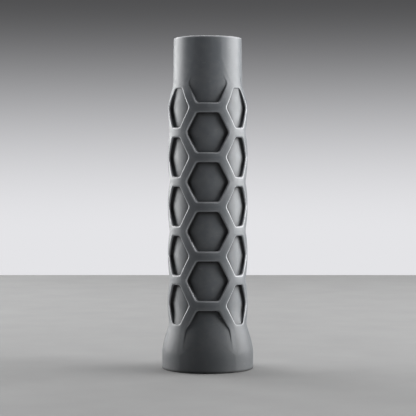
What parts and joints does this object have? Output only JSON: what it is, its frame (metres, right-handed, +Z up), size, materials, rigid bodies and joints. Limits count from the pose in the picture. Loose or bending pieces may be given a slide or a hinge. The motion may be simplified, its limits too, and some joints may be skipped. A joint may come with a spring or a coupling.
{
  "type": "rock tumbler barrel",
  "caption": "Tall round rock tumbler barrel: steel drum in a rubber jacket with a raised honeycomb grip, flared foot, rubber liner and an expanding plug lid sunk in its mouth.",
  "frame": {"origin": "centre of the face that the barrel stands on", "axes": "+Z up along the barrel's axis to its mouth, -Y the front, +X to the right seen from the front"},
  "size_m": [0.083, 0.083, 0.3],
  "materials": {
    "jacket_rubber": "satin moulded rubber",
    "black_rubber": "matt moulded rubber",
    "drum_steel": "drawn and brushed",
    "cast_aluminium": "cast and turned",
    "spun_steel": "spun, with circular marks",
    "zinc_steel": "bright zinc plate",
    "rivet_aluminium": "plain",
    "brass": "machined",
    "bright_wire": "polished"
  },
  "bodies": {
    "barrel": {"outer_jacket": "jacket_rubber", "drum_tube": "drum_steel", "base_flange": "cast_aluminium", "end_ring": "drum_steel", "base_gasket": "black_rubber", "base_screw_1": "zinc_steel", "base_screw_2": "zinc_steel", "base_screw_3": "zinc_steel", "base_screw_4": "zinc_steel", "base_screw_5": "zinc_steel", "base_screw_6": "zinc_steel", "foot_pad": "black_rubber", "liner_sleeve": "black_rubber", "liner_floor": "black_rubber", "mouth_ring": "cast_aluminium"},
    "lid": {"lid_cap": "spun_steel", "lid_seal": "black_rubber", "thrust_washer": "zinc_steel", "bail_lug_left": "spun_steel", "bail_lug_right": "spun_steel", "lug_rivet_1": "rivet_aluminium", "lug_rivet_2": "rivet_aluminium", "lug_rivet_3": "rivet_aluminium", "lug_rivet_4": "rivet_aluminium"},
    "clamp": {"pressure_plate": "spun_steel", "bolt_seal": "black_rubber", "clamp_bolt": "zinc_steel"},
    "nut": {"thumb_nut": "brass"},
    "bail": {"bail_handle": "bright_wire"}
  },
  "joints": [
    {"name": "lid_lift", "type": "slide", "parent": "barrel", "child": "lid", "axis": [0, 0, 1], "range_m": [0, 0.08]},
    {"name": "nut_turn", "type": "hinge", "parent": "lid", "child": "nut", "pos_m": [0, 0, 0.29], "axis": [0, 0, 1], "range_deg": [0, 864.1]},
    {"name": "clamp_drop", "type": "slide", "parent": "lid", "child": "clamp", "axis": [0, 0, -1], "range_m": [0, 0.003]},
    {"name": "bail_swing", "type": "hinge", "parent": "lid", "child": "bail", "pos_m": [0, 0, 0.288], "axis": [-1, 0, 0], "range_deg": [0, 180]}
  ],
  "couplings": [
    {"joint": "nut_turn", "follows": "clamp_drop", "rad_per_m": 5026.5}
  ]
}
